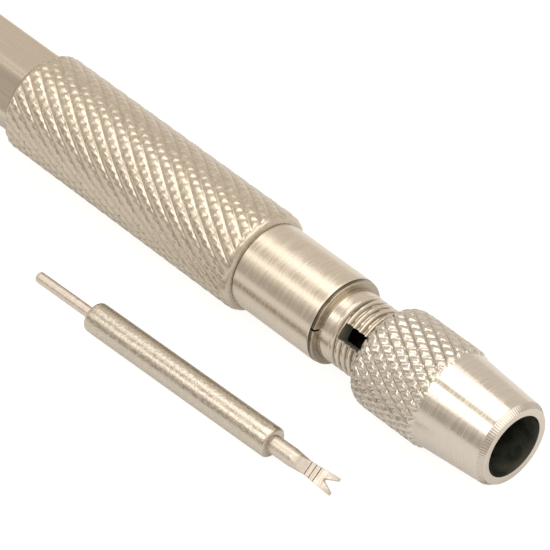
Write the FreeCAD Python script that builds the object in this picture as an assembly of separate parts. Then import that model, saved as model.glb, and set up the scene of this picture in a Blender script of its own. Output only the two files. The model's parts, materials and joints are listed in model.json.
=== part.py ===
import FreeCAD, Part
import math
import os

# A double-ended spring bar tool lying on a table, in millimetres, +Z up.
# Its axis runs along X. The front chuck, at +X, is open and empty, and its
# reversible bit lies beside it, on the -Y side. The rear chuck is closed on
# a bit of the same kind. Every piece is first built on the X axis and then
# placed, so all stations are distances from the middle of the hexagon.

# The diameters nest around the collet's stem. A step, wall or depth is one side's.
stem_diameter = 5.7             # also the thread's crests

# Handle: one bar, a hexagon between two grips
hex_length = 12.0
hex_across_flats = 6.24
hex_corner_deg = 53.7           # one corner's place, from +Y towards +Z
grip_length = 24.4
grip_step = 0.565               # from the neck out to the knurl's crests
grip_shoulder_round = 0.7
grip_root_chamfer = 0.5
bit_well_depth = 24.0           # blind hole behind each chuck
bit_well_room = 0.325           # between the well and a bit

# Neck sleeve, pressed into the handle
neck_step = 0.585               # from the stem out to the neck
neck_length = 7.7
neck_edge_chamfer = 0.12
spigot_wall = 0.7
spigot_length = 6.0
spigot_end_gap = 0.3            # left free at the bottom of the counterbore

# Split ring between the sleeve and the collet's shoulder
ring_thickness = 0.35
ring_edge_chamfer = 0.1
ring_split_width = 0.18
ring_split_deg = 157.0
ring_seat_depth = 0.35

# Collet: tail, ring seat, plain stem, thread, closing cone and jaw nose
tail_step = 0.2                 # from the ring's seat down to the tail
plain_stem_length = 1.05
thread_length = 8.7
thread_pitch = 0.58
thread_depth = 0.27
jaw_nose_length = 1.0
jaw_grip_length = 6.0
jaw_relief = 0.25               # the bore's step behind the jaws
slot_count = 3
slot_width = 1.27
slot_deg = 137.5                # the first slot's place, from +Y towards +Z
slot_setback = 0.55             # from the thread's rear end to the slots

# Chuck nut
nut_length = 12.45
nut_rear_wall = 0.25
nut_rear_round = 1.2
nut_thread_length = 7.4
nut_knurl_length = 6.3
nut_knurl_step = 0.2            # from the nose out to the knurl's crests
nut_cone_length = 1.0
nut_cone_depth = 0.48
nose_taper = 0.45
mouth_face_width = 0.58
mouth_bevel_length = 0.45
mouth_bevel_depth = 0.3
thread_clearance = 0.05         # crest to nut wall
front_nut_loosened = 1.6        # how far the front nut stands off its closed place

# Reversible bit: a body with a pin in one end and a fork in the other
bit_diameter = 2.35
bit_body_length = 17.9
bit_body_round = 0.35
bit_body_chamfer = 0.12
bit_clearance = 0.05            # to the open jaws
tip_socket_depth = 4.0
pin_diameter = 0.85
pin_reach = 5.76
pin_tip_round = 0.2
pin_tail_step = 0.05            # from the pin down to its tail, at the body's face
pin_tail_taper = 0.1            # the tail is driven into a tapered socket
fork_diameter = 1.35
fork_reach = 5.8
fork_width = 1.42               # across the prongs' tips
fork_waist = 1.06               # across the flats, where they begin
fork_thickness = 0.46
fork_flat_length = 2.5          # full-thickness flat, measured from the tip
fork_ramp_length = 1.4
fork_notch_mouth = 0.92
fork_notch_depth = 0.95
fork_notch_radius = 0.1
file_line_count = 3
file_line_pitch = 0.42
file_line_width = 0.08
file_line_depth = 0.05

# Where the two bits are
rear_bit_overhang = 4.0         # bit body standing out of the rear nut
loose_bit_tip_back = 12.56      # from the front shoulder back to the pin's tip
loose_bit_tip_aside = 10.67     # from the tool's axis to the pin's tip
loose_bit_yaw_deg = 2.15
loose_bit_roll_deg = 35.7

ORIGIN = FreeCAD.Vector(0, 0, 0)
X_AXIS = FreeCAD.Vector(1, 0, 0)
Y_AXIS = FreeCAD.Vector(0, 1, 0)
Z_AXIS = FreeCAD.Vector(0, 0, 1)

# Diameters, from the stem inwards and outwards
ring_seat_diameter = stem_diameter - 2 * ring_seat_depth
tail_diameter = ring_seat_diameter - 2 * tail_step
spigot_diameter = tail_diameter + 2 * spigot_wall
neck_diameter = stem_diameter + 2 * neck_step
grip_diameter = neck_diameter + 2 * grip_step
jaw_bore = bit_diameter + 2 * bit_clearance
bit_well_diameter = bit_diameter + 2 * bit_well_room
nut_bore = stem_diameter + 2 * thread_clearance
nut_rear_diameter = nut_bore + 2 * nut_rear_wall
mouth_diameter = nut_bore - 2 * nut_cone_depth
mouth_face_diameter = mouth_diameter + 2 * mouth_face_width
nose_tip_diameter = mouth_face_diameter + 2 * mouth_bevel_depth
nose_root_diameter = nose_tip_diameter + 2 * nose_taper
nut_diameter = nose_root_diameter + 2 * nut_knurl_step

# Stations along the tool, from the middle of the hexagon outwards
grip_start = hex_length / 2
shoulder = grip_start + grip_length
neck_end = shoulder + neck_length
ring_end = neck_end + ring_thickness
thread_start = ring_end + plain_stem_length
cone_start = thread_start + thread_length
cone_end = cone_start + nut_cone_length
collet_end = cone_end + jaw_nose_length
tail_end = shoulder - spigot_length
nut_closed = cone_start - nut_thread_length
mouth_closed = nut_closed + nut_length
bit_length = pin_reach + bit_body_length + fork_reach
fork_socket = pin_reach + bit_body_length - tip_socket_depth
axis_height = max(grip_diameter, nut_diameter) / 2


def cylinder(start, end, diameter):
    return Part.makeCylinder(diameter / 2, end - start, FreeCAD.Vector(start, 0, 0), X_AXIS)


def turned(outline):
    """A solid of revolution about X, from the (x, radius) corners of its half section."""
    corners = [FreeCAD.Vector(x, 0, radius) for x, radius in outline]
    face = Part.Face(Part.makePolygon(corners + corners[:1]))
    return face.revolve(ORIGIN, X_AXIS, 360)


def edges_at(solid, x, diameter):
    """The round edges of that diameter in the plane at x."""
    found = []
    for edge in solid.Edges:
        circle = edge.Curve
        if not isinstance(circle, Part.Circle):
            continue
        if abs(circle.Center.x - x) < 1e-6 and abs(circle.Radius - diameter / 2) < 1e-6:
            found.append(edge)
    return found


def turn_about_x(solid, angle):
    copy = solid.copy()
    copy.rotate(ORIGIN, X_AXIS, angle)
    return copy


def make_grip():
    """One knurled grip as a plain cylinder over its knurl."""
    grip = cylinder(grip_start, shoulder, grip_diameter)
    grip = grip.makeFillet(grip_shoulder_round, edges_at(grip, shoulder, grip_diameter))
    return grip.makeChamfer(grip_root_chamfer, edges_at(grip, grip_start, grip_diameter))


def make_handle():
    corner_radius = hex_across_flats / math.sqrt(3)
    corners = []
    for k in range(6):
        angle = math.radians(hex_corner_deg + 60 * k)
        across = corner_radius * math.cos(angle)
        up = corner_radius * math.sin(angle)
        corners.append(FreeCAD.Vector(-grip_start, across, up))
    hexagon = Part.Face(Part.makePolygon(corners + corners[:1])).extrude(X_AXIS * hex_length)
    grip = make_grip()
    handle = hexagon.fuse([grip, rear_copy(grip)]).removeSplitter()
    counterbore = cylinder(tail_end - spigot_end_gap, shoulder, spigot_diameter)
    hole = counterbore.fuse(cylinder(shoulder - bit_well_depth, shoulder, bit_well_diameter))
    return handle.cut([hole, rear_copy(hole)])


def make_neck_sleeve():
    sleeve = cylinder(shoulder, neck_end, neck_diameter)
    sleeve = sleeve.makeChamfer(neck_edge_chamfer, edges_at(sleeve, neck_end, neck_diameter))
    sleeve = sleeve.fuse(cylinder(tail_end, shoulder, spigot_diameter))
    return sleeve.cut(cylinder(tail_end, neck_end, tail_diameter))


def make_split_ring():
    ring = cylinder(neck_end, ring_end, neck_diameter)
    rims = edges_at(ring, neck_end, neck_diameter) + edges_at(ring, ring_end, neck_diameter)
    ring = ring.makeChamfer(ring_edge_chamfer, rims)
    ring = ring.cut(cylinder(neck_end, ring_end, ring_seat_diameter))
    split = Part.makeBox(ring_thickness, neck_diameter, ring_split_width)
    split.translate(FreeCAD.Vector(neck_end, 0, -ring_split_width / 2))
    return ring.cut(turn_about_x(split, ring_split_deg))


def thread_outline():
    """Corners along the thread, as equal parallel ridges that fill its length."""
    ridge_count = round(thread_length / thread_pitch)
    pitch = thread_length / ridge_count
    crest = stem_diameter / 2
    outline = []
    for k in range(ridge_count):
        ridge = thread_start + k * pitch
        outline.append((ridge, crest))
        outline.append((ridge + pitch / 2, crest - thread_depth))
    return outline


def make_collet():
    crest = stem_diameter / 2
    nose = mouth_diameter / 2 - thread_clearance
    outline = [(tail_end, 0), (tail_end, tail_diameter / 2), (neck_end, tail_diameter / 2)]
    outline += [(neck_end, ring_seat_diameter / 2), (ring_end, ring_seat_diameter / 2)]
    outline += [(ring_end, crest)]
    outline += thread_outline()
    outline += [(cone_start, crest), (cone_end, nose), (collet_end, nose), (collet_end, 0)]
    relief_end = collet_end - jaw_grip_length
    collet = turned(outline)
    collet = collet.cut(cylinder(relief_end, collet_end, jaw_bore))
    collet = collet.cut(cylinder(tail_end, relief_end, jaw_bore + 2 * jaw_relief))
    slot_start = thread_start + slot_setback
    slot = Part.makeBox(collet_end - slot_start, stem_diameter, slot_width)
    slot.translate(FreeCAD.Vector(slot_start, 0, -slot_width / 2))
    for k in range(slot_count):
        collet = collet.cut(turn_about_x(slot, slot_deg + 360 * k / slot_count))
    return collet


def make_chuck_nut():
    """The nut in its closed place. Its knurl is a plain cylinder over the crests."""
    knurl_end = nut_closed + nut_knurl_length
    bevel_start = mouth_closed - mouth_bevel_length
    bore = nut_bore / 2
    mouth = mouth_diameter / 2
    round_start = FreeCAD.Vector(nut_closed, 0, nut_rear_diameter / 2)
    round_end = FreeCAD.Vector(nut_closed + nut_rear_round, 0, nut_diameter / 2)
    lean = math.radians(45)
    width = round_end.x - round_start.x
    height = round_end.z - round_start.z
    round_mid_x = round_end.x - width * math.cos(lean)
    round_mid_z = round_start.z + height * math.sin(lean)
    rear_round = Part.Arc(round_start, FreeCAD.Vector(round_mid_x, 0, round_mid_z), round_end)
    corners = [(knurl_end, nut_diameter / 2), (knurl_end, nose_root_diameter / 2)]
    corners += [(bevel_start, nose_tip_diameter / 2), (mouth_closed, mouth_face_diameter / 2)]
    corners += [(mouth_closed, mouth), (cone_end, mouth), (cone_start, bore), (nut_closed, bore)]
    points = [round_end] + [FreeCAD.Vector(x, 0, radius) for x, radius in corners] + [round_start]
    outline = Part.Wire([rear_round.toShape()] + Part.makePolygon(points).Edges)
    return Part.Face(outline).revolve(ORIGIN, X_AXIS, 360)


def make_pin_tail():
    """The tapered tail, which is also the shape of its socket."""
    face_radius = pin_diameter / 2 - pin_tail_step
    end_radius = face_radius - pin_tail_taper
    start = FreeCAD.Vector(pin_reach, 0, 0)
    return Part.makeCone(face_radius, end_radius, tip_socket_depth, start, X_AXIS)


def make_bit_body():
    """The bit's body, from the pin's end to the fork's, with a socket for each."""
    start = pin_reach
    end = start + bit_body_length
    body = cylinder(start, end, bit_diameter)
    body = body.makeFillet(bit_body_round, edges_at(body, start, bit_diameter))
    body = body.makeChamfer(bit_body_chamfer, edges_at(body, end, bit_diameter))
    return body.cut([make_pin_tail(), cylinder(fork_socket, end, fork_diameter)])


def make_bit_pin():
    pin = cylinder(0, pin_reach, pin_diameter)
    pin = pin.makeFillet(pin_tip_round, edges_at(pin, 0, pin_diameter))
    return pin.fuse(make_pin_tail())


def make_fork_shank():
    """Round stock from the socket to the flattened plate, with a ramp ground on each side."""
    ramp_end = bit_length - fork_flat_length
    ramp_start = ramp_end - fork_ramp_length
    radius = fork_diameter / 2
    top = [(fork_socket, radius), (ramp_start, radius), (ramp_end, fork_thickness / 2)]
    side_view = top + [(x, -z) for x, z in reversed(top)]
    corners = [FreeCAD.Vector(x, -radius, z) for x, z in side_view]
    envelope = Part.Face(Part.makePolygon(corners + corners[:1])).extrude(Y_AXIS * fork_diameter)
    return cylinder(fork_socket, ramp_end, fork_diameter).common(envelope)


def make_fork_notch():
    """A V with a round bottom, open at the fork's tip."""
    bottom = bit_length - fork_notch_depth
    half_mouth = fork_notch_mouth / 2
    reach = fork_notch_depth - fork_notch_radius
    lean = math.atan2(half_mouth - fork_notch_radius, reach)
    side_x = bottom + fork_notch_radius * (1 - math.sin(lean))
    side_y = fork_notch_radius * math.cos(lean)
    left = FreeCAD.Vector(side_x, side_y, 0)
    right = FreeCAD.Vector(side_x, -side_y, 0)
    arc = Part.Arc(left, FreeCAD.Vector(bottom, 0, 0), right).toShape()
    mouth_right = FreeCAD.Vector(bit_length, -half_mouth, 0)
    mouth_left = FreeCAD.Vector(bit_length, half_mouth, 0)
    sides = Part.makePolygon([right, mouth_right, mouth_left, left]).Edges
    notch = Part.Face(Part.Wire([arc] + sides)).extrude(Z_AXIS * fork_diameter)
    notch.translate(Z_AXIS * (-fork_diameter / 2))
    return notch


def make_fork_block():
    """A block taller than the wire, with the fork's outline as seen from above."""
    plate_start = bit_length - fork_flat_length
    ground_start = plate_start - fork_ramp_length
    room = fork_diameter / 2 + 0.05
    half = [(fork_socket - 1, room), (ground_start, room), (plate_start, fork_waist / 2)]
    half.append((bit_length, fork_width / 2))
    points = [FreeCAD.Vector(x, y, -fork_diameter) for x, y in half]
    points += [FreeCAD.Vector(x, -y, -fork_diameter) for x, y in reversed(half)]
    outline = Part.makePolygon(points + points[:1])
    return Part.Face(outline).extrude(Z_AXIS * 2 * fork_diameter)


def make_bit_fork():
    plate_start = bit_length - fork_flat_length
    plate = Part.makeBox(fork_flat_length, fork_width, fork_thickness)
    plate.translate(FreeCAD.Vector(plate_start, -fork_width / 2, -fork_thickness / 2))
    fork = make_fork_shank().fuse(plate).common(make_fork_block()).cut(make_fork_notch())
    for k in range(file_line_count):
        for side in (-1, 1):
            line = Part.makeBox(file_line_width, fork_width, 2 * file_line_depth)
            line_x = plate_start + (k + 0.25) * file_line_pitch
            line_z = side * fork_thickness / 2 - file_line_depth
            line.translate(FreeCAD.Vector(line_x, -fork_width / 2, line_z))
            fork = fork.cut(line)
    return fork.removeSplitter()


def rear_copy(solid):
    """The same piece at the tool's rear end, turned half round about the vertical."""
    copy = solid.copy()
    copy.rotate(ORIGIN, Z_AXIS, 180)
    return copy


def in_rear_chuck(solid):
    """A bit's piece, with the fork outwards and the body's end standing out of the nut."""
    copy = solid.copy()
    tip = mouth_closed + rear_bit_overhang + fork_reach
    copy.translate(X_AXIS * (tip - bit_length))
    return rear_copy(copy)


def on_table(solid):
    """A bit's piece, lying beside the front chuck with its body on the table."""
    copy = turn_about_x(solid, loose_bit_roll_deg)
    copy.rotate(ORIGIN, Z_AXIS, loose_bit_yaw_deg)
    height = bit_diameter / 2 - axis_height
    copy.translate(FreeCAD.Vector(shoulder - loose_bit_tip_back, -loose_bit_tip_aside, height))
    return copy


def make_nodes():
    nodes = {"handle": make_handle()}
    chuck = {
        "neck_sleeve": make_neck_sleeve(),
        "split_ring": make_split_ring(),
        "collet": make_collet(),
        "chuck_nut": make_chuck_nut(),
    }
    for name, solid in chuck.items():
        nodes["front_" + name] = solid.copy()
        nodes["rear_" + name] = rear_copy(solid)
    nodes["front_chuck_nut"].translate(X_AXIS * front_nut_loosened)
    bit = {"bit_body": make_bit_body(), "bit_pin": make_bit_pin(), "bit_fork": make_bit_fork()}
    for name, solid in bit.items():
        nodes["loose_" + name] = on_table(solid)
        nodes["rear_" + name] = in_rear_chuck(solid)
    return nodes


def main():
    os.makedirs("parts", exist_ok=True)
    nodes = make_nodes()
    box = Part.makeCompound(list(nodes.values())).optimalBoundingBox(False, False)
    origin = FreeCAD.Vector(box.Center.x, box.Center.y, box.ZMin)
    for name, solid in nodes.items():
        solid.translate(-origin)
        solid.exportStep(f"parts/{name}.step")
    print(f"{len(nodes)} nodes, {box.XLength:.2f} x {box.YLength:.2f} x {box.ZLength:.2f} mm")
    print(f"tool axis at y {-origin.y:.4f}, z {-origin.z:.4f}; hexagon's middle at x {-origin.x:.4f}")


main()
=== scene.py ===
# %% [markdown]
# # A double-ended spring bar tool
#
# A watchmaker's hand tool for spring bars: a plated steel handle with a hexagon in the
# middle, a knurled grip and a small collet chuck at each end, and a reversible bit with
# a pin on one side and a fork on the other. This lesson dresses the engineering model of
# that tool. The engineering model fixes every size and place; here each part gets the
# surface that its own making leaves on it: pressed knurls, cut threads, turning marks,
# ground tips.

# %% Load the frame
import json
import math

import bmesh
import bpy
from mathutils import Matrix, Vector


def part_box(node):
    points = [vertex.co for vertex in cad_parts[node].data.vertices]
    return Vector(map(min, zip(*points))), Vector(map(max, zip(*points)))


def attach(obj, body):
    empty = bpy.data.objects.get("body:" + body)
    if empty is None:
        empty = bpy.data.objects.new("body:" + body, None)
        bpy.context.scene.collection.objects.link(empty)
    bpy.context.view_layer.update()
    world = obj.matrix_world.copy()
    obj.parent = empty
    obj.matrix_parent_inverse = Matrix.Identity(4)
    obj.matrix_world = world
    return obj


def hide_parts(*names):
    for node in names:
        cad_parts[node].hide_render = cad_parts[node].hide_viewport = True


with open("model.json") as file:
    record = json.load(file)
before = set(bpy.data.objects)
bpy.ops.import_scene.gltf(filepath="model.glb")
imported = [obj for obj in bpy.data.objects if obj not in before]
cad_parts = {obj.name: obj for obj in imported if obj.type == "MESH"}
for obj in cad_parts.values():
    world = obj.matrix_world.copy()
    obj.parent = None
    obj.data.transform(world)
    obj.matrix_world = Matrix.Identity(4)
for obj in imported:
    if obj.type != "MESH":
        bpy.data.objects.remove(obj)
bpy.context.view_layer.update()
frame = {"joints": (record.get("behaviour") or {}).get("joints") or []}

MM = 0.001

# %% [markdown]
# ## Where the tool lies
#
# All the tool's turned pieces share one axis, and only the loose bit has its own. The
# lowest and highest corner of the handle are enough to find it. Every piece is made in
# millimetres around the X axis, with the middle of the hexagon at zero, and moved into the
# frame at the end. Each could be made where it lies, but this keeps the shop drawing
# simple, and the rear end is the front end turned half round.

# %% The axis and the stations along it
handle_low, handle_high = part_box("handle")
tool_middle = (handle_low + handle_high) / 2
shoulder = (handle_high.x - tool_middle.x) / MM


def stations_of(node):
    """How far from the hexagon's middle a node starts and ends, in millimetres."""
    low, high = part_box(node)
    ends = [abs(low.x - tool_middle.x) / MM, abs(high.x - tool_middle.x) / MM]
    return min(ends), max(ends)


spigot_end, neck_end = stations_of("front_neck_sleeve")
ring_start, ring_end = stations_of("front_split_ring")
collet_end = stations_of("front_collet")[1]
front_nut_start = stations_of("front_chuck_nut")[0]
rear_nut_start = stations_of("rear_chuck_nut")[0]
print("shoulder", round(shoulder, 3), "neck end", round(neck_end, 3), "ring end", round(ring_end, 3))
print("nuts start at", round(front_nut_start, 3), "and", round(rear_nut_start, 3))

# %% [markdown]
# ## The camera
#
# A small tool is seen from close by through a long lens, so that its two ends keep almost
# the same size. The camera looks down steeply and across the tool, at the neck.

# %% Camera
view_azimuth = math.radians(46.8)
view_elevation = math.radians(43.6)
view_distance = 0.2825
to_right = Vector((math.cos(view_azimuth), math.sin(view_azimuth), 0))
to_camera = Vector((
    math.sin(view_azimuth) * math.cos(view_elevation),
    -math.cos(view_azimuth) * math.cos(view_elevation),
    math.sin(view_elevation),
))
to_top = to_camera.cross(to_right)
near_shoulder = tool_middle + Vector(((shoulder + 1.0) * MM, 0, 0))
aim_left, aim_down = 0.127 * MM, 0.177 * MM
look_at = near_shoulder - to_right * aim_left - to_top * aim_down
focal_length, sensor_width, nearest_seen = 261.8, 36, 0.01
lens = bpy.data.cameras.new("camera")
lens.lens = focal_length
lens.sensor_width = sensor_width
lens.clip_start = nearest_seen
camera = bpy.data.objects.new("camera", lens)
camera.matrix_world = Matrix.LocRotScale(
    look_at + to_camera * view_distance,
    Matrix((to_right, to_top, to_camera)).transposed().to_quaternion(),
    None,
)
bpy.context.scene.collection.objects.link(camera)
bpy.context.scene.camera = camera
bpy.context.scene.view_settings.view_transform = "Standard"
print("camera at, mm:", [round(v / MM, 1) for v in camera.location])

# %% [markdown]
# ## The studio
#
# Polished metal shows its surroundings more than itself, so the studio is part of the
# finish: a white sweep under the tool, pale walls and three softboxes. A broad one hangs
# overhead, a narrower one stands lower on the camera's side, and a wide one in front
# lights the ends that face it. The wall under the low box is darker, which draws the
# dark line along each cylinder.

# %% Nodes in short
def add(tree, kind, plugs=None, **settings):
    """A node, with its settings, and a value or a link for each of the listed inputs."""
    node = tree.nodes.new(kind)
    for setting, value in settings.items():
        setattr(node, setting, value)
    for socket, value in (plugs or {}).items():
        if isinstance(value, bpy.types.NodeSocket):
            tree.links.new(value, node.inputs[socket])
        else:
            node.inputs[socket].default_value = value
    return node


def calc(tree, operation, *values):
    """One step of arithmetic."""
    return add(tree, "ShaderNodeMath", dict(enumerate(values)), operation=operation).outputs[0]


def ramp(tree, value, start, end, low=0.0, high=1.0):
    """A smooth rise from low, where value is at start, to high, where it is at end."""
    plugs = {0: value, 1: start, 2: end, 3: low, 4: high}
    return add(tree, "ShaderNodeMapRange", plugs, interpolation_type="SMOOTHSTEP").outputs[0]


# %% Walls
wall_colour = (0.91, 0.84, 0.75, 1)
world = bpy.data.worlds.new("studio_walls")
world.use_nodes = True
bpy.context.scene.world = world
walls = world.node_tree
walls.nodes.clear()
direction = add(walls, "ShaderNodeTexCoord").outputs["Generated"]
part = add(walls, "ShaderNodeSeparateXYZ", {0: direction})
low_down = ramp(walls, part.outputs["Z"], 0.5, 0.3)
on_this_side = ramp(walls, part.outputs["Y"], -0.45, -0.75)
wall_darkening = 0.35
shade = calc(walls, "MULTIPLY", low_down, on_this_side)
brightness = calc(walls, "SUBTRACT", 1.0, calc(walls, "MULTIPLY", shade, wall_darkening))
light = add(walls, "ShaderNodeBackground", {"Color": wall_colour, "Strength": brightness})
add(walls, "ShaderNodeOutputWorld", {"Surface": light.outputs[0]})
print("walls:", len(walls.nodes), "nodes")

# %% Softboxes
lamp_distance = 0.6
lamp_colour = (1.0, 0.985, 0.95)


def softbox(name, away, width, length, brightness):
    """A flat lamp in the given direction from the neck, facing it."""
    lamp = bpy.data.lights.new(name, "AREA")
    lamp.shape = "ELLIPSE"
    lamp.size = length
    lamp.size_y = width
    lamp.energy = brightness * math.pi * width * length * math.pi / 4
    lamp.color = lamp_colour
    box = bpy.data.objects.new(name, lamp)
    away = Vector(away).normalized()
    along = Vector((1, 0, 0))
    side = away.cross(along).normalized()
    along = side.cross(away)
    box.matrix_world = Matrix.LocRotScale(
        near_shoulder + away * lamp_distance,
        Matrix((along, side, away)).transposed().to_quaternion(),
        None,
    )
    bpy.context.scene.collection.objects.link(box)
    print(name, "at", [round(v, 3) for v in box.location], "power", round(lamp.energy, 3))


def around_axis(height_deg, lean):
    """A direction at a height around the tool's axis; lean is its share along the axis."""
    height = math.radians(height_deg)
    upright = math.sqrt(1 - lean * lean)
    return lean, upright * math.cos(height), upright * math.sin(height)


to_the_rear, to_the_front = -0.29, 0.5
softbox("softbox_overhead", around_axis(82, to_the_rear), 0.46, 0.33, 1.9)
softbox("softbox_low", around_axis(129, to_the_rear), 0.27, 0.33, 1.8)
softbox("softbox_front", around_axis(85, to_the_front), 0.9, 0.36, 1.2)

# %% [markdown]
# The white sweep is exposed past white, as in a catalogue, so hardly any shadow is left
# on it. The metal still mirrors the paper as it is, with the tool's own shadow under it,
# and that keeps the undersides darker. One finish does both: it asks whether a ray comes
# straight from the lens.

# %% Floor
def paper(tree, white, glow):
    """Paper that scatters part of the light and glows with the rest."""
    matt = add(tree, "ShaderNodeBsdfDiffuse", {"Color": (white, white, white, 1)})
    lit = add(tree, "ShaderNodeEmission", {"Color": (1, 0.98, 0.96, 1), "Strength": glow})
    return add(tree, "ShaderNodeAddShader", {0: matt.outputs[0], 1: lit.outputs[0]}).outputs[0]


floor_finish = bpy.data.materials.new("white_sweep")
floor_finish.use_nodes = True
sweep = floor_finish.node_tree
sweep.nodes.clear()
from_lens = add(sweep, "ShaderNodeLightPath").outputs["Is Camera Ray"]
as_mirrored = paper(sweep, white=0.62, glow=0.28)
as_seen = paper(sweep, white=0.24, glow=0.90)
plugs = {0: from_lens, 1: as_mirrored, 2: as_seen}
shown = add(sweep, "ShaderNodeMixShader", plugs).outputs[0]
add(sweep, "ShaderNodeOutputMaterial", {"Surface": shown})
floor_mesh = bpy.data.meshes.new("floor")
reach = 3.0
floor_corners = [(-reach, -reach, 0), (reach, -reach, 0), (reach, reach, 0), (-reach, reach, 0)]
floor_mesh.from_pydata(floor_corners, [], [(0, 1, 2, 3)])
floor_mesh.materials.append(floor_finish)
floor = bpy.data.objects.new("floor", floor_mesh)
bpy.context.scene.collection.objects.link(floor)
print("floor", reach * 2, "m across")

# %% [markdown]
# ## Nickel plate, and what the tools leave in it
#
# Nickel is a warm, slightly yellow metal. Most parts wear the same plate, and what makes
# them different is the surface below it: a lathe leaves fine rings, a drawn bar has long
# lines, and the bit's rod keeps its grain. Each finish could have a tree of its own, but
# they differ only in numbers, so one helper makes the metal, and stretches one noise along
# or around the part for its marks. The noise works as relief, as roughness and, faintly,
# as tint, so that the marks catch the light as real ones do.

# %% Metal
nickel = (0.62, 0.555, 0.47)
bright_nickel = (0.61, 0.56, 0.495)
worn_nickel = (0.56, 0.495, 0.41)
# The brown of the painted shade and dirt in grooves and seams.
shade_and_dirt_brown = (0.10, 0.08, 0.05)


def metal(
    name, colour, roughness, marks, relief, turn=0.0, tint=0.06, rough_change=0.35, shade_and_dirt=0.0, metallic=1.0
):
    """Plated metal. marks is how many marks there are per millimetre along X, Y and Z, relief
    their height in millimetres, and shade_and_dirt how brown the deepest grooves are,
    as painted shade and dirt."""
    finish = bpy.data.materials.new(name)
    finish.use_nodes = True
    tree = finish.node_tree
    surface = tree.nodes["Principled BSDF"]
    place = add(tree, "ShaderNodeTexCoord").outputs["Object"]
    plugs = {"Vector": place, "Angle": turn}
    turned = add(tree, "ShaderNodeVectorRotate", plugs, rotation_type="Z_AXIS").outputs[0]
    per_metre = tuple(count / MM for count in marks)
    plugs = {0: turned, 1: per_metre}
    stretched = add(tree, "ShaderNodeVectorMath", plugs, operation="MULTIPLY").outputs[0]
    plugs = {"Vector": stretched, "Scale": 1.0, "Detail": 3.0}
    level = add(tree, "ShaderNodeTexNoise", plugs).outputs[0]
    bump = add(tree, "ShaderNodeBump", {"Height": level, "Strength": 1.0, "Distance": relief * MM})
    tree.links.new(bump.outputs[0], surface.inputs["Normal"])
    smoothest, roughest = roughness * (1 - rough_change), roughness * (1 + rough_change)
    tree.links.new(ramp(tree, level, 0.3, 0.7, smoothest, roughest), surface.inputs["Roughness"])
    pale = tuple(channel * (1 + tint) for channel in colour) + (1,)
    deep = tuple(channel * (1 - tint) for channel in colour) + (1,)
    plugs = {"Factor": ramp(tree, level, 0.35, 0.65), "A": deep, "B": pale}
    plate = add(tree, "ShaderNodeMix", plugs, data_type="RGBA").outputs["Result"]
    # Painted shade and dirt: where the mesh notes a deep groove or seam, the plate is mixed towards brown.
    if shade_and_dirt:
        depth = add(tree, "ShaderNodeAttribute", attribute_name="groove").outputs["Fac"]
        shade_and_dirt_share = ramp(tree, depth, 0.25, 0.95, 0.0, shade_and_dirt)
        plugs = {"Factor": shade_and_dirt_share, "A": plate, "B": shade_and_dirt_brown + (1,)}
        plate = add(tree, "ShaderNodeMix", plugs, data_type="RGBA").outputs["Result"]
    tree.links.new(plate, surface.inputs["Base Color"])
    surface.inputs["Metallic"].default_value = metallic
    print("finish", name, "with", len(tree.nodes), "nodes")
    return finish


drawn_marks = (0.12, 6.0, 6.0)
turning_marks = (9.0, 0.45, 0.45)
# The shade_and_dirt amounts below set how much painted shade and dirt each plate takes.
grip_knurl_plate = metal("nickel_over_grip_knurl", worn_nickel, 0.27, (3.0, 3.0, 3.0), 0.0012, shade_and_dirt=0.15)
nut_knurl_plate = metal("nickel_over_nut_knurl", bright_nickel, 0.2, (5.0, 5.0, 5.0), 0.002, shade_and_dirt=0.2)
hexagon_plate = metal(
    "nickel_over_hexagon", worn_nickel, 0.27, drawn_marks, 0.0003, tint=0.015, rough_change=0.12
)
neck_plate = metal(
    "nickel_over_turning", nickel, 0.24, (5.0, 0.6, 0.6), 0.003, tint=0.03, rough_change=0.2, shade_and_dirt=0.85
)
nose_plate = metal("nickel_bright", bright_nickel, 0.21, turning_marks, 0.005, tint=0.03, shade_and_dirt=0.3)
ring_satin = metal("satin_steel", (0.42, 0.37, 0.30), 0.28, (3.0, 3.0, 3.0), 0.002, shade_and_dirt=0.95)
thread_plate = metal("nickel_over_thread", nickel, 0.22, turning_marks, 0.004, shade_and_dirt=0.9)
sawn_steel = metal("sawn_steel", (0.30, 0.30, 0.25), 0.4, (6.0, 0.8, 0.8), 0.004, metallic=0.5)
# Painted shade: the bores are painted nearly black.
painted_shade_bore = metal(
    "painted_shade_bore", (0.045, 0.048, 0.036), 0.35, (0.8, 0.8, 0.8), 0.004, tint=0.3, metallic=0.3
)

# %% [markdown]
# ## Turning
#
# Every part but the hexagon and the fork is a solid of revolution, and is drawn as its
# half section: a list of corners, each at a distance along the axis and a radius. The
# Screw modifier could turn such a section, but a short function also leans the columns
# for a knurl and leaves a gap for a split. A real edge is never knife-sharp, so corners
# are eased a little; the eased edge is what catches the light.

# %% A half section and a lathe
def eased(corners, sizes):
    """The section with every corner rounded by its own size; a size of 0 leaves it sharp."""
    section = []
    for k, size in enumerate(sizes):
        corner = Vector(corners[k])
        if not size:
            section.append(tuple(corner))
            continue
        back = (Vector(corners[k - 1]) - corner).normalized() * size
        ahead = (Vector(corners[(k + 1) % len(corners)]) - corner).normalized() * size
        section.append(tuple(corner + back * 1.5))
        for step in range(5):
            t = step / 4
            section.append(tuple(corner + back * (1 - t) ** 2 + ahead * t ** 2))
        section.append(tuple(corner + ahead * 1.5))
    return section


def even_steps(start, end, radius, spacing):
    """Stations between start and end, for a stretch that a pattern is pressed into."""
    count = round(abs(end - start) / spacing)
    return [(start + (end - start) * k / count, radius) for k in range(1, count)]


def rounded_start(x, radius, length, drop, steps):
    """Points that rise in a quarter round from a start at x to the full radius."""
    turns = [math.pi / 2 * step / steps for step in range(1, steps + 1)]
    return [(x + length * (1 - math.cos(turn)), radius - drop + drop * math.sin(turn)) for turn in turns]


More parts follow.
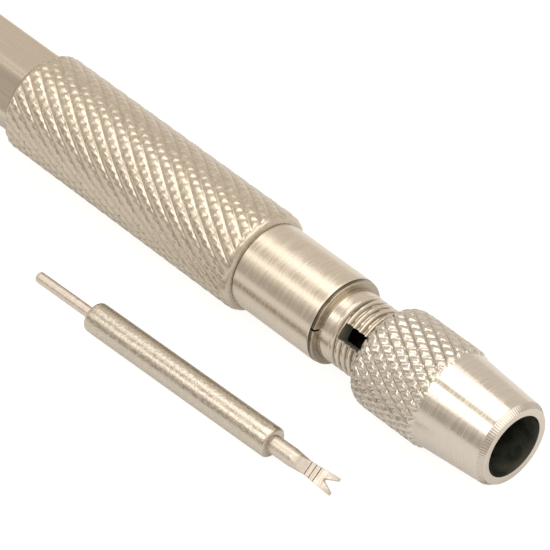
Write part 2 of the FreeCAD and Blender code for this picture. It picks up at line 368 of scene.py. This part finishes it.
def turned_mesh(name, section, columns=144, twist=(0.0, 0.0, 0.0), opening=None):
    """A closed solid of revolution. twist is how fast, from where and to where its columns lean;
    opening is a gap's first and last angle."""
    rate, lean_from, lean_to = twist
    first, span, steps = 0.0, 2 * math.pi, columns
    if opening:
        first, span, steps = opening[1], 2 * math.pi - (opening[1] - opening[0]), columns - 1
    shape = bmesh.new()
    rings = []
    for x, radius in section:
        lead = rate * min(max(x, lean_from), lean_to)
        if radius < 1e-6:
            rings.append([shape.verts.new((x, 0, 0))])
            continue
        ring = []
        for column in range(columns):
            angle = first + span * column / steps + lead
            ring.append(shape.verts.new((x, radius * math.cos(angle), radius * math.sin(angle))))
        rings.append(ring)
    for near, far in zip(rings, rings[1:] + rings[:1]):
        if len(near) == 1 and len(far) == 1:
            continue
        for column in range(steps):
            after = (column + 1) % columns
            loop = [near[column % len(near)], near[after % len(near)]]
            loop += [far[after % len(far)], far[column % len(far)]]
            shape.faces.new(dict.fromkeys(loop))
    if opening:
        shape.faces.new([ring[0] for ring in rings])
        shape.faces.new([ring[-1] for ring in rings])
    bmesh.ops.recalc_face_normals(shape, faces=shape.faces)
    mesh = bpy.data.meshes.new(name)
    shape.to_mesh(mesh)
    shape.free()
    return mesh


# %% A solid from a row of outlines
def lofted(shape, loops, name):
    """The closed mesh that joins equal loops of corners one after another."""
    for near, far in zip(loops, loops[1:]):
        for k in range(len(near)):
            after = (k + 1) % len(near)
            shape.faces.new((near[k], near[after], far[after], far[k]))
    shape.faces.new(loops[0])
    shape.faces.new(loops[-1])
    bmesh.ops.remove_doubles(shape, verts=shape.verts, dist=1e-4)
    bmesh.ops.recalc_face_normals(shape, faces=shape.faces)
    mesh = bpy.data.meshes.new(name)
    shape.to_mesh(mesh)
    shape.free()
    return mesh


# %% Painted shade and dirt in the corners
def paint_shade_and_dirt(mesh, amount_at):
    """Notes in the mesh how much painted shade and dirt each point gets; amount_at takes the distance along
    and the radius.
    """
    layer = mesh.attributes.get("groove") or mesh.attributes.new("groove", "FLOAT", "POINT")
    for point, note in zip(mesh.vertices, layer.data):
        x, y, z = point.co
        note.value = max(note.value, min(max(amount_at(x, math.hypot(y, z)), 0.0), 1.0))


# %% From the bench into the frame
front_end = Matrix.Translation(tool_middle) @ Matrix.Scale(MM, 4)
rear_end = Matrix.Translation(tool_middle) @ Matrix.Rotation(math.pi, 4, "Z") @ Matrix.Scale(MM, 4)


def deliver(mesh, name, place, body, node=None, sharp_deg=40):
    """Moves a mesh into the frame, as a piece that rides on its body and stands for its node."""
    mesh.transform(place)
    mesh.shade_smooth()
    mesh.set_sharp_from_angle(angle=math.radians(sharp_deg))
    piece = bpy.data.objects.new(name, mesh)
    bpy.context.scene.collection.objects.link(piece)
    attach(piece, body)
    if node:
        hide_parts(node)
    print(name, "has", len(mesh.polygons), "faces")
    return piece


# %% [markdown]
# ## The knurl
#
# A knurl is pressed, not cut: two hardened rolls push helical grooves into the turning
# bar, and the metal between them stands up as rows of small cushions. The coarse roll
# leaves deep grooves one way, the fine roll shallow ones the other way. It could be a
# bump texture, but a bump has no outline and no real grooves to hold painted shade and
# dirt. So the bar is turned as a fine mesh, with its columns along the coarse helix, and a
# Geometry Nodes tree presses the grooves in. The number of starts is whole, so the pattern
# closes.

# %% What both trees need
def new_tree(name, sizes):
    """A tree with a mesh input, the named sizes and a finish."""
    tree = bpy.data.node_groups.new(name, "GeometryNodeTree")
    tree.interface.new_socket("Blank", in_out="INPUT", socket_type="NodeSocketGeometry")
    for size in sizes:
        tree.interface.new_socket(size, in_out="INPUT", socket_type="NodeSocketFloat")
    tree.interface.new_socket("Finish", in_out="INPUT", socket_type="NodeSocketMaterial")
    tree.interface.new_socket("Piece", in_out="OUTPUT", socket_type="NodeSocketGeometry")
    return tree, tree.nodes.new("NodeGroupInput").outputs


def press(tree, given, inward, depth, shape):
    """Moves each point towards the axis, notes its share of the full depth, and ends the tree."""
    flat = add(tree, "ShaderNodeCombineXYZ", {"Y": shape["y"], "Z": shape["z"]}).outputs[0]
    share = calc(tree, "MULTIPLY", calc(tree, "DIVIDE", inward, shape["radius"]), -1.0)
    move = add(tree, "ShaderNodeVectorMath", {0: flat, "Scale": share}, operation="SCALE").outputs[0]
    moved = add(tree, "GeometryNodeSetPosition", {"Geometry": given["Blank"], "Offset": move}).outputs[0]
    plugs = {"Geometry": moved, "Name": "groove", "Value": depth}
    note = add(tree, "GeometryNodeStoreNamedAttribute", plugs, data_type="FLOAT", domain="POINT")
    real = add(tree, "GeometryNodeRealizeInstances", {"Geometry": note.outputs[0]}).outputs[0]
    plated = add(tree, "GeometryNodeSetMaterial", {"Geometry": real, "Material": given["Finish"]}).outputs[0]
    add(tree, "NodeGroupOutput", {0: plated})


def polar(tree):
    """Where a point is around the axis."""
    place = add(tree, "GeometryNodeInputPosition").outputs[0]
    xyz = add(tree, "ShaderNodeSeparateXYZ", {0: place}).outputs
    turns = calc(tree, "DIVIDE", calc(tree, "ARCTAN2", xyz["Z"], xyz["Y"]), 2 * math.pi)
    squares = calc(tree, "ADD", calc(tree, "POWER", xyz["Y"], 2.0), calc(tree, "POWER", xyz["Z"], 2.0))
    radius = calc(tree, "MAXIMUM", calc(tree, "SQRT", squares), 0.01)
    return {"x": xyz["X"], "y": xyz["Y"], "z": xyz["Z"], "turns": turns, "radius": radius}


# %% A tree that presses a knurl
knurl_sizes = ["Coarse starts", "Coarse depth", "Coarse width", "Fine starts", "Fine depth", "Fine width"]
knurl_sizes += ["Slant", "From", "To", "Run-out", "Bar radius", "Core radius"]
knurl_sizes += ["Chatter marks", "Chatter depth", "Chatter from", "Chatter to"]
knurl_tree, given = new_tree("press_knurl", knurl_sizes)
point = polar(knurl_tree)


def times(*values):
    """The product of two or three values in the knurl's tree."""
    product = calc(knurl_tree, "MULTIPLY", *values[:2])
    return calc(knurl_tree, "MULTIPLY", product, values[2]) if len(values) > 2 else product


def groove_row(roll, way):
    """Depth below the cushions' tops for one roll's row of grooves; at width 1 they meet."""
    wave = calc(knurl_tree, "SINE", times(way, given[roll + " starts"], math.pi))
    slope = calc(knurl_tree, "DIVIDE", calc(knurl_tree, "ABSOLUTE", wave), given[roll + " width"])
    height = calc(knurl_tree, "MINIMUM", slope, 1.0)
    return times(calc(knurl_tree, "SUBTRACT", 1.0, height), given[roll + " depth"])


lean = calc(knurl_tree, "DIVIDE", calc(knurl_tree, "TANGENT", given["Slant"]), given["Bar radius"])
advance = calc(knurl_tree, "DIVIDE", times(point["x"], lean), 2 * math.pi)
coarse = groove_row("Coarse", calc(knurl_tree, "SUBTRACT", point["turns"], advance))
fine = groove_row("Fine", calc(knurl_tree, "ADD", point["turns"], advance))
deeper = calc(knurl_tree, "MAXIMUM", coarse, fine)
full_from = calc(knurl_tree, "ADD", given["From"], given["Run-out"])
full_to = calc(knurl_tree, "SUBTRACT", given["To"], given["Run-out"])
begun = ramp(knurl_tree, point["x"], given["From"], full_from)
ended = ramp(knurl_tree, point["x"], given["To"], full_to)
outside = calc(knurl_tree, "GREATER_THAN", point["radius"], given["Core radius"])
rolled = times(deeper, times(begun, ended, outside))
ripple = times(point["turns"], times(given["Chatter marks"], 2 * math.pi))
swing = calc(knurl_tree, "MULTIPLY_ADD", calc(knurl_tree, "COSINE", ripple), 0.5, 0.5)
after = calc(knurl_tree, "GREATER_THAN", point["x"], given["Chatter from"])
before = calc(knurl_tree, "LESS_THAN", point["x"], given["Chatter to"])
there = times(after, before, outside)
chatter = times(swing, given["Chatter depth"], there)
# The pressed depth and the chatter's troughs are noted for the finish, which browns them as painted shade and
# dirt.
share = calc(knurl_tree, "DIVIDE", rolled, given["Coarse depth"])
share = calc(knurl_tree, "ADD", share, times(swing, there))
press(knurl_tree, given, calc(knurl_tree, "ADD", rolled, chatter), share, point)
print("knurl tree:", len(knurl_tree.nodes), "nodes")

# %% Run a tree on a blank
def shown_mesh(blank):
    """A plain mesh of what an object shows, with its modifiers."""
    graph = bpy.context.evaluated_depsgraph_get()
    graph.update()
    seen = blank.evaluated_get(graph)
    return bpy.data.meshes.new_from_object(seen, preserve_all_data_layers=True, depsgraph=graph)


def run_tree(tree, blank_mesh, sizes):
    """The plain mesh that a tree makes of a blank."""
    blank = bpy.data.objects.new("blank", blank_mesh)
    bpy.context.scene.collection.objects.link(blank)
    modifier = blank.modifiers.new(tree.name, "NODES")
    modifier.node_group = tree
    for item in tree.interface.items_tree:
        if item.item_type == "SOCKET" and item.in_out == "INPUT" and item.name in sizes:
            modifier[item.identifier] = sizes[item.name]
    result = shown_mesh(blank)
    blank.modifiers.clear()
    bpy.data.objects.remove(blank)
    bpy.data.meshes.remove(blank_mesh)
    return result


# %% [markdown]
# ## The handle
#
# One bar of steel: a hexagon in the middle, and a knurled grip on each side, with a
# rounded shoulder next to the neck. The grips are hollow, so that a bit can be put away
# inside, and their wells are kept open here for the bit that slides there. One mesh for
# the whole bar would need fine columns on the hexagon too, so the bar is made as three
# pieces that meet where the shape changes. The hexagon could be a cylinder with six sides
# and a Bevel; its outline is drawn here instead, with five points to each eased edge.

# %% The grip's half section
hexagon_half = 6.0
grip_radius = (handle_high.z - handle_low.z) / 2 / MM
grip_chamfer, grip_rounding = 0.5, 0.7
well_radius, well_bottom = 1.5, hexagon_half + 0.4
counterbore_radius, counterbore_end = 3.0, spigot_end - 0.3
slant = math.radians(31)
coarse_starts, fine_starts = 26, 34
both_ends = (("front", front_end), ("rear", rear_end))
grip_section = [(hexagon_half, 0), (hexagon_half, grip_radius - grip_chamfer)]
grip_section += [(hexagon_half + rise, grip_radius - grip_chamfer + rise) for rise in (0.17, 0.34)]
grip_section += [(hexagon_half + grip_chamfer, grip_radius)]
grip_section += even_steps(hexagon_half + grip_chamfer, shoulder - grip_rounding, grip_radius, 0.085)
for step in range(9):
    turn = math.radians(90 * step / 8)
    x = shoulder - grip_rounding * (1 - math.sin(turn))
    grip_section.append((x, grip_radius - grip_rounding * (1 - math.cos(turn))))
grip_section += [(shoulder, counterbore_radius)]
grip_section += even_steps(shoulder, counterbore_end, counterbore_radius, 0.8)
grip_section += [(counterbore_end, counterbore_radius), (counterbore_end, well_radius)]
grip_section += even_steps(counterbore_end, well_bottom, well_radius, 0.8)
grip_section += [(well_bottom, well_radius), (well_bottom, 0)]
print("the grip's section has", len(grip_section), "corners")

# %% Press the grips
grip_knurl = {
    "Coarse starts": coarse_starts, "Coarse depth": 0.10, "Coarse width": 0.9,
    "Fine starts": fine_starts, "Fine depth": 0.06, "Fine width": 0.8, "Slant": slant,
    "From": hexagon_half + 0.1, "To": shoulder - 0.15, "Run-out": 0.5,
    "Bar radius": grip_radius, "Core radius": 3.2, "Finish": grip_knurl_plate,
}
for end, place in both_ends:
    twist = (math.tan(slant) / grip_radius, hexagon_half, shoulder)
    blank = turned_mesh(end + "_grip_blank", grip_section, coarse_starts * 8, twist)
    mesh = run_tree(knurl_tree, blank, grip_knurl)
    # Painted shade and dirt on the shoulder's inner edge, in the seam next to the neck.
    paint_shade_and_dirt(mesh, lambda x, radius: (x - shoulder + 0.15) / 0.1 if 3.2 < radius < 3.75 else 0.0)
    deliver(mesh, end + "_grip", place, "handle", sharp_deg=80)

# %% Hexagon
across_flats = 6.24
hexagon_corner = across_flats / math.sqrt(3)
hexagon_turn = math.radians(53.7)
hexagon_reach = hexagon_half + 0.3
edge_ease = 0.34
outline = []
for side in range(6):
    corner_angle = hexagon_turn + math.radians(60 * side)
    corner = Vector((hexagon_corner * math.cos(corner_angle), hexagon_corner * math.sin(corner_angle)))
    for turn, amount in ((-1, 2.0), (-1, 1.0), (0, 0.0), (1, 1.0), (1, 2.0)):
        neighbour = corner_angle + turn * math.radians(60)
        aim = Vector((math.cos(neighbour), math.sin(neighbour))) * hexagon_corner - corner
        step = aim.normalized() * edge_ease * amount if turn else -corner.normalized() * edge_ease * 0.3
        outline.append(corner + step)
bar = bmesh.new()
loops = []
for x in (-hexagon_reach, hexagon_reach):
    loops.append([bar.verts.new((x, y, z)) for y, z in outline])
hexagon_mesh = lofted(bar, loops, "handle_hexagon")
hexagon_mesh.materials.append(hexagon_plate)
hexagon = deliver(hexagon_mesh, "handle_hexagon", front_end, "handle")
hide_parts("handle")

# %% [markdown]
# ## Necks and split rings
#
# The neck is a smooth sleeve pressed into the handle, and a thin split ring closes it
# against the collet. Both are turned, and the lathe's marks run round them. The seams on
# both sides of the ring, and most of the ring's outside, are browned with painted shade
# and dirt, so its edge shows between two brown lines. A texture could paint that, but it
# would have to be aimed at each seam. Here every point knows its radius, so the painted
# shade and dirt is noted in the mesh, and the finish reads it.

# %% Neck sleeves
neck_low, neck_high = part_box("front_neck_sleeve")
neck_radius = (neck_high.z - neck_low.z) / 2 / MM
sleeve_bore = 2.3
neck_corners = [(spigot_end, sleeve_bore), (spigot_end, counterbore_radius)]
neck_corners += [(shoulder, counterbore_radius), (shoulder, neck_radius)]
neck_corners += [(neck_end, neck_radius), (neck_end, sleeve_bore)]
neck_section = eased(neck_corners, [0, 0, 0, 0.06, 0.1, 0.05])
for end, place in both_ends:
    mesh = turned_mesh(end + "_neck", neck_section)
    # Painted shade and dirt on the neck's eased edges from the shoulder on, in the seams at the handle and at
    # the ring.
    paint_shade_and_dirt(mesh, lambda x, radius: (neck_radius - radius) / 0.08 if x > shoulder - 0.01 else 0.0)
    mesh.materials.append(neck_plate)
    deliver(mesh, end + "_neck", place, "handle", end + "_neck_sleeve")

# %% Split rings
split_middle = math.radians(157)
split_width = 0.16
split_half = split_width / 2 / neck_radius
ring_bore = 2.5
rim = neck_radius - 0.06
ring_corners = [(ring_start, ring_bore), (ring_start, rim), (ring_end, rim), (ring_end, ring_bore)]
ring_section = eased(ring_corners, [0, 0.06, 0.12, 0.03])
gap = (split_middle - split_half, split_middle + split_half)
for end, place in both_ends:
    mesh = turned_mesh(end + "_ring", ring_section, opening=gap)
    # Painted shade and dirt: most of the ring is browned, and its front face more from a radius of 3.08 mm
    # inwards.
    paint_shade_and_dirt(mesh, lambda x, radius: 0.85 if x < ring_end - 0.1 else (3.08 - radius) / 0.08)
    mesh.materials.append(ring_satin)
    deliver(mesh, end + "_ring", place, "handle", end + "_split_ring")

# %% [markdown]
# ## Collets
#
# The collet is turned, bored, threaded and then sawn lengthwise into three jaws. The
# engineering model draws its thread as plain ridges; here it is a true helix, because
# the eye follows it. A swept profile could make one, but it would have to be joined to
# the bar, so a tree cuts the helix into the turned bar instead. The slots could be left
# out of the mesh by hand; three plain boxes saw them, as on the real piece.

# %% A tree that cuts a thread
thread_tree, given = new_tree("cut_thread", ["From", "To", "Pitch", "Depth", "Core radius"])
point = polar(thread_tree)
pitches = calc(thread_tree, "DIVIDE", point["x"], given["Pitch"])
helix_turns = calc(thread_tree, "SUBTRACT", pitches, point["turns"])
wave = calc(thread_tree, "COSINE", calc(thread_tree, "MULTIPLY", helix_turns, 2 * math.pi))
full_from = calc(thread_tree, "ADD", given["From"], given["Pitch"])
limits = (
    ramp(thread_tree, point["x"], given["From"], full_from),
    calc(thread_tree, "LESS_THAN", point["x"], given["To"]),
    calc(thread_tree, "GREATER_THAN", point["radius"], given["Core radius"]),
)
cut = calc(thread_tree, "MULTIPLY", calc(thread_tree, "MULTIPLY_ADD", wave, -0.5, 0.5), given["Depth"])
for limit in limits:
    cut = calc(thread_tree, "MULTIPLY", cut, limit)
# The cut's share of the depth is noted for the finish, which browns the thread's roots as painted shade and
# dirt.
press(thread_tree, given, cut, calc(thread_tree, "DIVIDE", cut, given["Depth"]), point)
print("thread tree:", len(thread_tree.nodes), "nodes")

# %% The collet's half section
stem_radius = 2.85
nose_radius = 2.37
jaw_bore = 1.225
relief_bore = 1.475
thread_pitch = 0.58
thread_start = ring_end + 1.05
cone_start = collet_end - 2.0
jaw_start = collet_end - 6.0
slot_start = thread_start + 0.55
slot_half = 0.635
slot_turn = 137.5
collet_section = [(spigot_end, relief_bore), (spigot_end, sleeve_bore)]
collet_section += [(ring_start, sleeve_bore), (ring_start, ring_bore), (ring_end, ring_bore)]
collet_section += [(ring_end, stem_radius), (thread_start, stem_radius)]
collet_section += even_steps(thread_start, cone_start, stem_radius, 0.064)
collet_section += [(cone_start, stem_radius), (collet_end - 1.0, nose_radius)]
collet_section += [(collet_end - 0.1, nose_radius), (collet_end, nose_radius - 0.1)]
collet_section += [(collet_end, jaw_bore + 0.075), (collet_end - 0.08, jaw_bore)]
collet_section += [(jaw_start, jaw_bore), (jaw_start, relief_bore)]
print("the collet's section has", len(collet_section), "corners")


# %% A saw
def box_mesh(name, low, high):
    """A plain box, used only as a saw blade."""
    shape = bmesh.new()
    bmesh.ops.create_cube(shape, size=1)
    size = Vector(high) - Vector(low)
    middle = (Vector(high) + Vector(low)) / 2
    stretch = Matrix.Translation(middle) @ Matrix.Diagonal(size.to_4d())
    bmesh.ops.transform(shape, matrix=stretch, verts=shape.verts)
    mesh = bpy.data.meshes.new(name)
    shape.to_mesh(mesh)
    shape.free()
    return mesh


def sawn(mesh, blades):
    """The mesh with each blade's space taken out of it."""
    blank = bpy.data.objects.new("blank", mesh)
    bpy.context.scene.collection.objects.link(blank)
    tools = []
    for blade in blades:
        tool = bpy.data.objects.new("blade", blade)
        bpy.context.scene.collection.objects.link(tool)
        modifier = blank.modifiers.new("saw", "BOOLEAN")
        modifier.object = tool
        modifier.solver = "EXACT"
        tools.append(tool)
    result = shown_mesh(blank)
    blank.modifiers.clear()
    for spent in tools + [blank]:
        bpy.data.objects.remove(spent)
    return result


# %% Thread and saw the collets
thread = {
    "From": thread_start - 0.1, "To": cone_start, "Pitch": thread_pitch, "Depth": 0.26,
    "Core radius": 2.6, "Finish": thread_plate,
}
for end, place in both_ends:
    blank = turned_mesh(end + "_collet_blank", collet_section, 96)
    threaded = run_tree(thread_tree, blank, thread)
    blades = []
    for jaw in range(3):
        blade = box_mesh("blade", (slot_start, 0, -slot_half), (collet_end + 1, 5, slot_half))
        blade.transform(Matrix.Rotation(math.radians(slot_turn + 120 * jaw), 4, "X"))
        blades.append(blade)
    mesh = sawn(threaded, blades)
    mesh.materials.clear()
    for finish in (thread_plate, sawn_steel, painted_shade_bore):
        mesh.materials.append(finish)
    for face in mesh.polygons:
        x, y, z = face.center
        radius = math.hypot(y, z)
        around = abs(face.normal.y * z - face.normal.z * y) / max(radius, 0.01)
        # Painted shade: faces in the bore take the nearly black bore finish.
        if radius < relief_bore + 0.025:
            face.material_index = 2
        elif x > slot_start - 0.05 and (around > 0.7 or face.normal.x > 0.9):
            face.material_index = 1
        else:
            face.material_index = 0
    deliver(mesh, end + "_collet_jaws", place, "handle", end + "_collet")

# %% [markdown]
# ## Chuck nuts
#
# The nut is screwed over the collet, and its inner cone closes the jaws. Its rear is
# rounded and knurled like the grips, its nose is polished, and the cutter that broke the
# edge of its mouth chattered: it left a ring of fine, even ripples. They could be bump, but
# they notch the edge that is seen against the dark bore, so the knurl's tree presses them
# too, and their troughs take a little painted shade and dirt. The bore is painted nearly
# black, as painted shade.

# %% The nut's half section
nut_low, nut_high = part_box("front_chuck_nut")
nut_radius = (nut_high.z - nut_low.z) / 2 / MM
nut_length = (nut_high.x - nut_low.x) / MM
nut_bore, nut_thread_end = 2.9, 7.4
mouth_bore = 2.42
knurl_end = 6.3
rounding_length, rounding_drop = 1.2, 0.8
nut_section = [(0, nut_bore), (0, nut_radius - rounding_drop)]
nut_section += rounded_start(0, nut_radius, rounding_length, rounding_drop, 15)
nut_section += even_steps(rounding_length, knurl_end - 0.2, nut_radius, 0.08)
nut_section.append((knurl_end - 0.2, nut_radius))
knurl_fade, knurl_fall = 0.42, 0.215
for step in range(1, 8):
    share = step / 7
    fall = knurl_fall * share * share * (3 - 2 * share)
    nut_section.append((knurl_end - 0.2 + knurl_fade * share, nut_radius - fall))
nut_section.append((knurl_end + 0.35, 3.727))
for before_mouth, radius in (
    (0.55, 3.31), (0.5, 3.305), (0.45, 3.29), (0.4, 3.262), (0.05, 3.03), (0.01, 3.0), (0, 2.97),
    (0, mouth_bore + 0.08), (0.02, mouth_bore + 0.03), (0.06, mouth_bore),
):
    nut_section.append((nut_length - before_mouth, radius))
nut_section += [(nut_thread_end + 1.0, mouth_bore), (nut_thread_end, nut_bore)]
nut_section += even_steps(nut_thread_end, 0.0, nut_bore, 0.5)
print("the nut's section has", len(nut_section), "corners")

# %% Press and finish the nuts
nut_knurl = {
    "Coarse starts": coarse_starts, "Coarse depth": 0.14, "Coarse width": 0.7,
    "Fine starts": fine_starts, "Fine depth": 0.13, "Fine width": 0.65, "Slant": slant,
    "From": -0.5, "To": knurl_end + 0.3, "Run-out": 0.4,
    "Bar radius": nut_radius, "Core radius": nut_bore + 0.05, "Finish": nut_knurl_plate,
    "Chatter marks": 104, "Chatter depth": 0.04,
    "Chatter from": nut_length - 0.47, "Chatter to": nut_length - 0.02,
}
for (end, place), start in zip(both_ends, (front_nut_start, rear_nut_start)):
    twist = (math.tan(slant) / nut_radius, 0.0, knurl_end)
    blank = turned_mesh(end + "_nut_blank", nut_section, coarse_starts * 12, twist)
    mesh = run_tree(knurl_tree, blank, nut_knurl)
    mesh.materials.append(nose_plate)
    mesh.materials.append(painted_shade_bore)
    for face in mesh.polygons:
        x, y, z = face.center
        # Painted shade: faces in the bores take the nearly black bore finish.
        bore = mouth_bore + 0.02 if x > nut_length - 0.1 else nut_bore + 0.03
        if math.hypot(y, z) < bore:
            face.material_index = 2
        elif x > knurl_end + 0.05:
            face.material_index = 1
    placed = place @ Matrix.Translation((start, 0, 0))
    deliver(mesh, end + "_nut", placed, end + "_nut", end + "_chuck_nut", sharp_deg=60)

# %% [markdown]
# ## Bits
#
# A reversible bit is a short grainy rod with a thin pin pressed into one end, and a fork
# into the other. The fork starts as round wire. Two flats are ground on it, and where a
# flat runs out into the round, it leaves a pointed curve. The plate between the flats has
# a waist, and widens again to the prongs. It could be cut from a cylinder with four
# Booleans, but each cross-section is only a circle with its top and bottom cut off,
# squeezed to the width there, so the fork is built from such sections. The V between the
# prongs is sawn last, with a rounded bottom.

# %% Bit finishes
loose_joint = next(j for j in frame["joints"] if j["child"] == "loose_bit")
loose_yaw = math.atan2(loose_joint["axis"][1], loose_joint["axis"][0])
bit_grain = metal("grainy_rod", (0.54, 0.49, 0.42), 0.25, (3.5, 7.0, 7.0), 0.013, turn=-loose_yaw, tint=0.08)
# The ground tip takes painted shade and dirt in its filed lines.
bit_ground = metal("ground_tip", (0.63, 0.565, 0.50), 0.4, (9.0, 0.5, 0.5), 0.003, turn=-loose_yaw, shade_and_dirt=0.85)
print("loose bit lies at", round(math.degrees(loose_yaw), 2), "degrees")

# %% Bit rod and pin
pin_reach, rod_length, fork_reach = 5.76, 17.9, 5.8
rod_radius, pin_radius, wire_radius = 1.175, 0.425, 0.675
rod_end = pin_reach + rod_length
bit_end = rod_end + fork_reach
rod_rounding, pin_rounding = 0.35, 0.2
rod_section = [(pin_reach, 0), (pin_reach, rod_radius - rod_rounding)]
rod_section += rounded_start(pin_reach, rod_radius, rod_rounding, rod_rounding, 8)
rod_section += even_steps(pin_reach + rod_rounding, rod_end - 0.2, rod_radius, 0.6)
rod_section += [(rod_end - 0.16, rod_radius), (rod_end - 0.12, rod_radius - 0.01)]
rod_section += [(rod_end - 0.02, rod_radius - 0.11), (rod_end, rod_radius - 0.14), (rod_end, 0)]
pin_foot = pin_reach + 0.5
pin_section = [(0, 0), (0, pin_radius - pin_rounding)]
pin_section += rounded_start(0, pin_radius, pin_rounding, pin_rounding, 6)
pin_section += [(0.4, pin_radius), (pin_foot, pin_radius), (pin_foot, 0)]
print("a bit is", round(bit_end, 2), "mm long")

# %% Fork
plate_half = 0.23
plate_length, grind_length = 2.5, 1.4
plate_start = bit_end - plate_length
grind_start = plate_start - grind_length
waist_loss, tip_gain = 0.215, 0.26
arc_steps, flat_steps = 12, 8


def share_between(x, start, end):
    """0 up to start, 1 from end, and an even rise between."""
    return min(max((x - start) / (end - start), 0), 1)


def flat_height(x):
    """How high the ground flats stand over the middle at x, as far as the plate."""
    ground = share_between(x, grind_start, plate_start) ** 1.7
    return wire_radius - (wire_radius - plate_half - 0.03) * ground


def fork_ring(x, height):
    """A circle of wire with its top and bottom ground off at that height."""
    corner = math.asin(height / wire_radius)
    squeeze = 1 - waist_loss * share_between(x, grind_start, plate_start)
    squeeze += tip_gain * share_between(x, plate_start, bit_end)
    ring = []
    for step in range(arc_steps):
        angle = -corner + 2 * corner * step / arc_steps
        ring.append((x, wire_radius * math.cos(angle) * squeeze, wire_radius * math.sin(angle)))
    reach_y = wire_radius * math.cos(corner) * squeeze
    for step in range(flat_steps):
        ring.append((x, reach_y * (1 - 2 * step / flat_steps), height))
    return ring + [(x, -y, -z) for _, y, z in ring]


fork_stations = [(rod_end - 0.4, wire_radius)]
for step in range(14):
    x = grind_start + grind_length * step / 14
    fork_stations.append((x, flat_height(x)))
file_lines = [plate_start + 0.1 + 0.42 * line for line in range(3)]
for line_x in file_lines:
    fork_stations += [(line_x, plate_half + 0.02), (line_x + 0.03, plate_half - 0.04)]
    fork_stations += [(line_x + 0.05, plate_half - 0.04), (line_x + 0.08, plate_half)]
fork_stations += [(bit_end - 0.04, plate_half), (bit_end, plate_half - 0.03)]
fork_shape = bmesh.new()
fork_rings = []
for x, height in fork_stations:
    fork_rings.append([fork_shape.verts.new(corner) for corner in fork_ring(x, height)])
fork_mesh = lofted(fork_shape, fork_rings, "fork")

# %% The V between the prongs
notch_bottom, notch_half, notch_round = bit_end - 0.95, 0.46, 0.1
notch_outline = [(bit_end + 0.1, notch_half + 0.04), (notch_bottom + notch_round * 0.8, notch_round)]
for step in range(1, 8):
    turn = math.radians(180 * step / 8)
    notch_outline.append((notch_bottom + notch_round * (1 - math.sin(turn)), notch_round * math.cos(turn)))
notch_outline += [(notch_bottom + notch_round * 0.8, -notch_round), (bit_end + 0.1, -notch_half - 0.04)]
notch_shape = bmesh.new()
notch_loops = []
for z in (-1, 1):
    notch_loops.append([notch_shape.verts.new((x, y, z)) for x, y in notch_outline])
fork_mesh = sawn(fork_mesh, [lofted(notch_shape, notch_loops, "notch")])


def in_a_file_line(x, radius):
    """1 at the bottom of one of the filed lines, 0 elsewhere."""
    return 1.0 if any(0.02 < x - line_x < 0.06 for line_x in file_lines) else 0.0


# The bottoms of the filed lines get painted shade and dirt.
paint_shade_and_dirt(fork_mesh, in_a_file_line)
fork_mesh.materials.append(bit_ground)
print("fork has", len(fork_mesh.polygons), "faces")

# %% Lay the bits down
bit_middle = Matrix.Translation((-(pin_reach + rod_length / 2), 0, 0))
loose_roll = math.radians(35.7)
for end, yaw, roll in (("loose", loose_yaw, loose_roll), ("rear", math.pi, 0.0)):
    low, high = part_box(end + "_bit_body")
    turned = Matrix.Rotation(yaw, 4, "Z") @ Matrix.Rotation(roll, 4, "X")
    place = Matrix.Translation((low + high) / 2) @ turned @ Matrix.Scale(MM, 4) @ bit_middle
    rod = turned_mesh(end + "_rod", rod_section, 64)
    rod.materials.append(bit_grain)
    deliver(rod, end + "_rod", place, end + "_bit", end + "_bit_body")
    pin = turned_mesh(end + "_pin", pin_section, 40)
    pin.materials.append(bit_ground)
    deliver(pin, end + "_pin", place, end + "_bit", end + "_bit_pin")
    deliver(fork_mesh.copy(), end + "_fork", place, end + "_bit", end + "_bit_fork")
